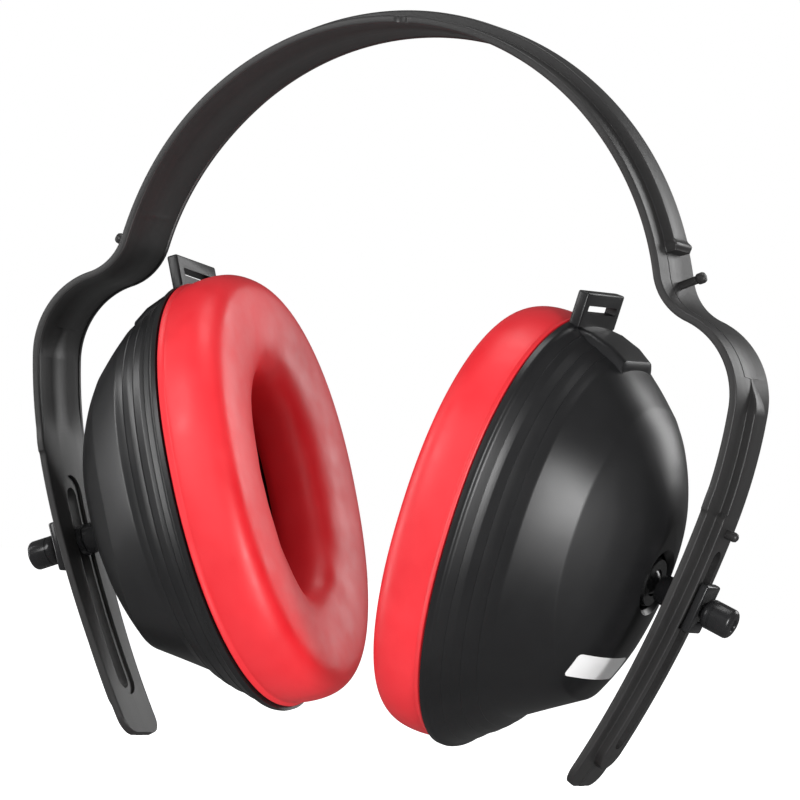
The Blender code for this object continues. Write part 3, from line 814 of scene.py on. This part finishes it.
# distance out at the sides, the top and the bottom, height above and below, half width, softness
CUP_RINGS = (
    (0.0, 0.0, 0.0, 54.2, 54.8, 42.2, 0.0),
    (1.5, 1.5, 1.5, 54.2, 54.8, 42.2, 0.6),
    (2.2, 2.2, 2.2, 53.2, 53.6, 41.2, 0.4),
    (6.0, 6.0, 6.0, 51.4, 50.4, 38.8, 1.5),
    (10.0, 10.0, 10.0, 49.8, 47.2, 37.3, 1.5),
    (14.2, 13.8, 13.8, 48.0, 42.6, 36.3, 0.45),
    (19.4, 19.0, 21.6, 44.4, 37.4, 32.5, 3.0),
    (24.4, 24.6, 29.0, 39.8, 32.6, 28.6, 0.5),
    (28.6, 28.6, 31.6, 35.6, 27.8, 23.8, 3.0),
    (32.2, 32.4, 34.2, 29.4, 21.6, 19.4, 3.0),
    (35.3, 35.6, 36.4, 22.5, 13.4, 14.2, 3.0),
    (37.6, 37.8, 37.9, 15.4, 4.6, 7.8, 2.0),
)
CAVITY_RINGS = (
    (-5.0, -5.0, -5.0, 48.6, 47.8, 36.8, 0), (6.0, 6.0, 6.0, 48.0, 47.4, 36.6, 0),
    (10.0, 10.0, 10.0, 46.6, 44.4, 35.0, 0), (13.2, 12.8, 12.8, 45.2, 40.4, 34.1, 0),
    (22.6, 22.8, 26.8, 37.4, 30.2, 25.6, 0), (26.6, 26.8, 29.4, 33.0, 25.0, 21.6, 0),
    (30.2, 30.4, 31.8, 26.6, 18.6, 17.0, 0), (33.0, 33.2, 33.8, 19.4, 10.2, 11.4, 0),
)
RIDGES = (4.4, 8.2, 11.6)  # fine step lines that run round the flare, mm out from the rim


def oval_point(turn, half_height, half_width, power=OVAL_POWER):
    c, s = math.cos(turn), math.sin(turn)
    up = math.copysign(abs(s) ** (2 / power), s)
    out = math.copysign(abs(c) ** (2 / power), c) * (1 + EGG * up)
    return Vector((0.0, half_width * out, half_height * up))


def bowed_point(turn, ring):
    side_x, top_x, bottom_x, above, below, half_width = ring[:6]
    point = oval_point(turn, (above + below) / 2, half_width)
    share = (point.z / ((above + below) / 2)) ** 2
    end_x = top_x if point.z > 0 else bottom_x
    return Vector((side_x + (end_x - side_x) * share, point.y, point.z + (above - below) / 2))


def ring_between(rings, distance):
    """The ring of the flare at a distance out, worked out from its neighbours."""
    for near, far in zip(rings, rings[1:]):
        if near[0] <= distance <= far[0]:
            t = (distance - near[0]) / (far[0] - near[0])
            return tuple(a + (b - a) * t for a, b in zip(near, far))


def grown(ring, amount):
    return (*ring[:3], ring[3] + amount, ring[4] + amount, ring[5] + amount, 0.0)


def flare_with_ridges(rings):
    made = list(rings)
    for at in RIDGES:
        for offset, amount in ((-0.2, 0.0), (0.0, 0.16), (0.7, 0.05), (1.4, 0.0)):
            made.append(grown(ring_between(rings, at + offset), amount))
    return sorted(made, key=lambda ring: (ring[0], -ring[3]))


def cup_skin(rings, around=AROUND):
    lines = []
    for k in range(around):
        turn = 2 * math.pi * k / around
        points = [bowed_point(turn, ring) for ring in rings]
        lines.append(round_corners(points, [ring[6] for ring in rings], steps=4, closed=False))
    return skin([[line[i] * MM for line in lines] for i in range(len(lines[0]))])


print("the cup has", len(flare_with_ridges(CUP_RINGS)), "rings from rim to crown")

# %% [markdown]
# On top of the rim stands a flat lug with a slot for a strap, on a short saddle that leans over the flare.
# In the middle of the dome a cone opens to the socket. These are joined and cut with exact Booleans, on
# meshes that already have their rounded corners.

# %% Cup shells
LUG_WIDE, LUG_HIGH, LUG_THICK, LUG_BAR = 23.0, 6.8, 2.8, 3.2


def make_shell(word):
    at_cup = cup_frame(word)
    shell = add_piece(f"{word}_shell", cup_skin(flare_with_ridges(CUP_RINGS)), matrix=at_cup)
    lug = add_piece(
        "lug",
        soft_block(
            (0.0, -LUG_WIDE / 2 * MM, (RIM_TOP - 2) * MM),
            (LUG_THICK * MM, LUG_WIDE / 2 * MM, (RIM_TOP + LUG_HIGH) * MM), 0.5 * MM,
        ),
        matrix=at_cup,
    )
    rings = []
    for w, half, high in ((0.9, 11.0, 51.6), (1.0, 11.2, 52.6), (6.0, 11.0, 52.2), (11.5, 10.4, 50.6),
                          (15.7, 9.5, 48.4), (16.2, 9.0, 47.4)):
        corners = [Vector((w, y, z)) for y, z in ((-half, 40.0), (half, 40.0), (half, high), (-half, high))]
        rings.append([p * MM for p in round_corners(corners, (0.5, 0.5, 2.6, 2.6), 5)])
    saddle = add_piece("saddle", skin(rings), matrix=at_cup)
    slot_low = RIM_TOP + LUG_HIGH - LUG_BAR - 2.0
    slot = add_piece(
        "slot",
        soft_block(
            (-MM, -8.75 * MM, slot_low * MM), ((LUG_THICK + 1) * MM, 8.75 * MM, (slot_low + 2.0) * MM),
            0.35 * MM,
        ),
        matrix=at_cup,
    )
    cavity = add_piece("cavity", cup_skin(CAVITY_RINGS), matrix=at_cup)
    boss = ((26.4, 0.0), (26.4, 9.0), (26.8, 9.4), (36.4, 9.4), (36.4, 0.0))
    boss = add_piece("boss", turned(boss), matrix=at_cup)
    ball = RIM_TO_BALL
    socket = ((ball - 5.3, 0.0), (ball - 5.3, 7.1), (ball + 2.4, 7.1), (ball + 2.7, 7.3), (ball + 5.0, 9.4),
              (ball + 5.0, 0.0))
    bore = add_piece("bore", turned(socket), matrix=at_cup)
    cut_or_join(shell, [lug, saddle], "UNION")
    cut_or_join(shell, [slot, cavity], "DIFFERENCE")
    cut_or_join(shell, [boss], "UNION")
    cut_or_join(shell, [bore], "DIFFERENCE")
    shell.data.materials.clear()
    shell.data.materials.append(CUP_BLACK)
    shell.data.set_sharp_from_angle(angle=math.radians(32))
    return hand_over(shell, f"{word}_cup", "cup_black", f"{word}_cup_shell")


shells = {word: make_shell(word) for word in SIDES}
for word, shell in shells.items():
    print(word, "shell:", len(shell.data.polygons), "faces")

# %% [markdown]
# The cushion is a ring of foam in a red vinyl skin, highest a little outside the hole's edge and sloping into
# the hole like a funnel. It is built a little thin, then a short cloth simulation with air pressure fills it
# out while its back stays glued to the plate. How far a point may move is capped, so the ring keeps its size.

# %% Cushions
CUSHION, HOLE = (54.0, 42.0), (27.5, 15.5)  # half height and half width outside and inside
CUSHION_LINE = (
    (-0.3, 0.01), (-1.3, 0.0), (-1.9, 0.008), (-2.6, 0.0), (-5.2, -0.012), (-8.0, -0.014), (-10.8, 0.0),
    (-13.0, 0.035), (-14.7, 0.088), (-15.8, 0.16), (-16.2, 0.25), (-16.3, 0.36), (-16.25, 0.48),
    (-16.1, 0.6), (-15.75, 0.71), (-15.1, 0.81), (-14.1, 0.89), (-12.6, 0.95), (-10.2, 0.99),
    (-6.0, 1.0), (-0.3, 1.0), (-0.3, 0.75), (-0.3, 0.5), (-0.3, 0.25),
)
CUSHION_AROUND = 120
CUSHION_SLACK = 0.3
LONGEST_MOVE = 0.55 * MM  # how far the air may push any point
GLUED_FROM = -1.6 * MM  # the back of the cushion, from here to the plate, stays put


def curve_between(p, q, r, s, t):
    """A smooth curve from q to r, whose slopes come from the neighbours p and s."""
    square = (2 * p - 5 * q + 4 * r - s) * t * t
    cube = (3 * q - p - 3 * r + s) * t**3
    return 0.5 * (2 * q + (r - p) * t + square + cube)


def smooth_line(points, between=2):
    """A closed curve through the points, with even steps between each pair."""
    made = []
    count = len(points)
    for i in range(count):
        a, b, c, d = (points[(i + o) % count] for o in (-1, 0, 1, 2))
        for k in range(between):
            t = k / between
            made.append(tuple(curve_between(*four, t) for four in zip(a, b, c, d)))
    return made


def cushion_rings(line, slack):
    """The rings of the cushion, drawn in by the slack that the air then fills out, in mm."""
    rings = []
    for x, share in line:
        ring = []
        for k in range(CUSHION_AROUND):
            turn = 2 * math.pi * k / CUSHION_AROUND
            outside = oval_point(turn, *CUSHION)
            inside = oval_point(turn, *HOLE, 2.1)
            point = outside.lerp(inside, min(max(share, -0.02), 1.02))
            point.x = min(x, -0.3)
            ring.append(point * MM)
        rings.append(ring)
    for i in range(CUSHION_AROUND):
        middle = sum((ring[i] for ring in rings), Vector()) / len(rings)
        for ring in rings:
            if ring[i].x < -1.0 * MM:
                ring[i] = ring[i] + (middle - ring[i]).normalized() * slack * MM
    return rings


def fill_with_air(piece, glued, cap):
    """Swells a closed skin with cloth under pressure, and caps how far any point moves."""
    start = [v.co.copy() for v in piece.data.vertices]
    group = piece.vertex_groups.new(name="glued")
    group.add(glued, 1.0, "REPLACE")
    cloth = piece.modifiers.new("air", "CLOTH")
    cloth.settings.use_pressure = True
    cloth.settings.uniform_pressure_force = 4.0
    cloth.settings.effector_weights.gravity = 0.0
    cloth.settings.vertex_group_mass = "glued"
    cloth.settings.quality = 5
    cloth.settings.bending_stiffness = 6.0
    scene = bpy.context.scene
    for step in range(1, 15):
        scene.frame_set(step)
    filled = bpy.data.meshes.new_from_object(piece.evaluated_get(bpy.context.evaluated_depsgraph_get()))
    moved = [v.co.copy() for v in filled.vertices]
    piece.modifiers.clear()
    bpy.data.meshes.remove(filled)
    scene.frame_set(1)
    longest = 0.0
    for vert, before, after in zip(piece.data.vertices, start, moved):
        shift = after - before
        longest = max(longest, shift.length)
        if shift.length > cap:
            shift = shift.normalized() * cap
        vert.co = before + shift
    return longest


def make_cushion(word):
    at_cup = cup_frame(word)
    line = smooth_line(CUSHION_LINE)
    rings = cushion_rings(line, CUSHION_SLACK)
    piece = add_piece(f"{word}_cushion", skin(rings, close_along=True), CUSHION_RED, smooth=80, matrix=at_cup)
    glued = [v.index for v in piece.data.vertices if v.co.x > GLUED_FROM]
    moved = fill_with_air(piece, glued, LONGEST_MOVE)
    print(word, "cushion: cloth moved up to", round(moved / MM, 2), "mm before the cap")
    for vert in piece.data.vertices:
        turn = math.atan2(vert.co.z / CUSHION[0], vert.co.y / CUSHION[1])
        reach = math.hypot(vert.co.z / 30.0, vert.co.y / 18.0) / MM
        inner = math.exp(-((reach - 1.0) / 0.22) ** 2) * ease((-vert.co.x / MM - 2) / 6)
        wave = noise.noise(Vector((math.cos(turn) * 4, math.sin(turn) * 4, vert.co.x / MM * 0.12)))
        vert.co.x += 0.35 * MM * inner * wave
    soft = piece.modifiers.new("soft", "SUBSURF")
    soft.levels = soft.render_levels = 1
    hand_over(piece, f"{word}_cup", "cushion_red", f"{word}_cushion_skin", f"{word}_cushion_foam")
    return piece


for word in SIDES:
    make_cushion(word)

# %% [markdown]
# Behind the cushion lies its hard plate, and inside the cup a slab of open foam swallows the sound. The foam
# shows through the cushion's hole, so its face is a real bumpy surface and not a flat lid.

# %% Plates and liners
def make_plate(word):
    line = [
        (-2.2, 0.09), (-2.2, 0.9), (-0.3, 0.9), (-0.3, 0.37), (3.4, 0.37), (3.4, 0.31), (-0.3, 0.31),
        (-0.3, 0.09),
    ]
    rings = []
    for x, share in line:
        turns = [2 * math.pi * k / 120 for k in range(120)]
        rings.append([
            (oval_point(t, *CUSHION).lerp(oval_point(t, *HOLE, 2.1), share) + Vector((x, 0, 0))) * MM
            for t in turns
        ])
    plate = add_piece(f"{word}_plate", skin(rings, close_along=True), CUP_BLACK, matrix=cup_frame(word))
    return hand_over(plate, f"{word}_cup", "cup_black", f"{word}_cushion_plate")


LINER_RINGS = (
    (13.4, 13.4, 13.4, 43.6, 38.2, 32.6, 0), (17.0, 17.0, 19.4, 40.6, 34.6, 29.4, 0),
    (21.0, 21.2, 24.4, 36.6, 29.8, 25.0, 0),
)


def make_liner(word):
    rings = []
    for share in [0.03 + 0.97 * k / 30 for k in range(31)]:
        x, _, _, above, below, half_width, _ = LINER_RINGS[0]
        rings.append((x, x, x, above * share, below * share, half_width * share, 0))
    for near, far in zip(LINER_RINGS, LINER_RINGS[1:]):
        for k in range(1, 7):
            rings.append(tuple(a + (b - a) * k / 6 for a, b in zip(near, far)))
    liner = add_piece(f"{word}_liner", cup_skin(rings, 96), FOAM_GREY, smooth=80, matrix=cup_frame(word))
    for vert in liner.data.vertices:
        place = vert.co / MM
        rough = noise.fractal(place * 0.45, 0.6, 2.0, 3)
        vert.co.x += 0.25 * MM * rough + 0.25 * MM
    hand_over(liner, f"{word}_cup", "foam_grey", f"{word}_acoustic_foam")


for word in SIDES:
    make_plate(word)
    make_liner(word)

# %% [markdown]
# Low on the dome of the right cup sits a small printed patch. It is left blank: a thin white rectangle with
# rounded corners that follows the dome.

# %% Blank patch on the right cup
def make_patch():
    shell = shells["right"]
    tree = BVHTree.FromPolygons(
        [v.co.copy() for v in shell.data.vertices], [tuple(p.vertices) for p in shell.data.polygons]
    )
    middle_y, middle_z, half_y, half_z, corner = -6.0, -23.0, 10.0, 3.1, 1.0
    columns, rows = 40, 14
    top, low = [], []
    for j in range(rows + 1):
        for i in range(columns + 1):
            y, z = half_y * (2 * i / columns - 1), half_z * (2 * j / rows - 1)
            over_y, over_z = max(abs(y) - half_y + corner, 0), max(abs(z) - half_z + corner, 0)
            if over_y > 0 and over_z > 0:
                pull = corner / max(math.hypot(over_y, over_z), corner)
                y = math.copysign(half_y - corner + over_y * pull, y)
                z = math.copysign(half_z - corner + over_z * pull, z)
            hit, normal, _, _ = tree.ray_cast(
                Vector((0.06, (middle_y + y) * MM, (middle_z + z) * MM)), Vector((-1.0, 0.0, 0.0))
            )
            top.append(hit + normal * 0.09 * MM)
            low.append(hit - normal * 0.05 * MM)
    builder = bmesh.new()
    upper = [builder.verts.new(p) for p in top]
    lower = [builder.verts.new(p) for p in low]
    wide = columns + 1
    for j in range(rows):
        for i in range(columns):
            a, b, c, d = j * wide + i, j * wide + i + 1, (j + 1) * wide + i + 1, (j + 1) * wide + i
            builder.faces.new((upper[a], upper[b], upper[c], upper[d]))
            builder.faces.new((lower[d], lower[c], lower[b], lower[a]))
    border = [i for i in range(wide)] + [j * wide + columns for j in range(1, rows + 1)]
    border += [rows * wide + i for i in range(columns - 1, -1, -1)]
    border += [j * wide for j in range(rows - 1, 0, -1)]
    for a, b in zip(border, border[1:] + border[:1]):
        builder.faces.new((upper[a], lower[a], lower[b], upper[b]))
    patch = add_piece("right_blank_patch", builder, LABEL_WHITE, matrix=cup_frame("right"))
    return hand_over(patch, "right_cup", "cup_black")


patch = make_patch()
print("blank patch:", len(patch.data.polygons), "faces")
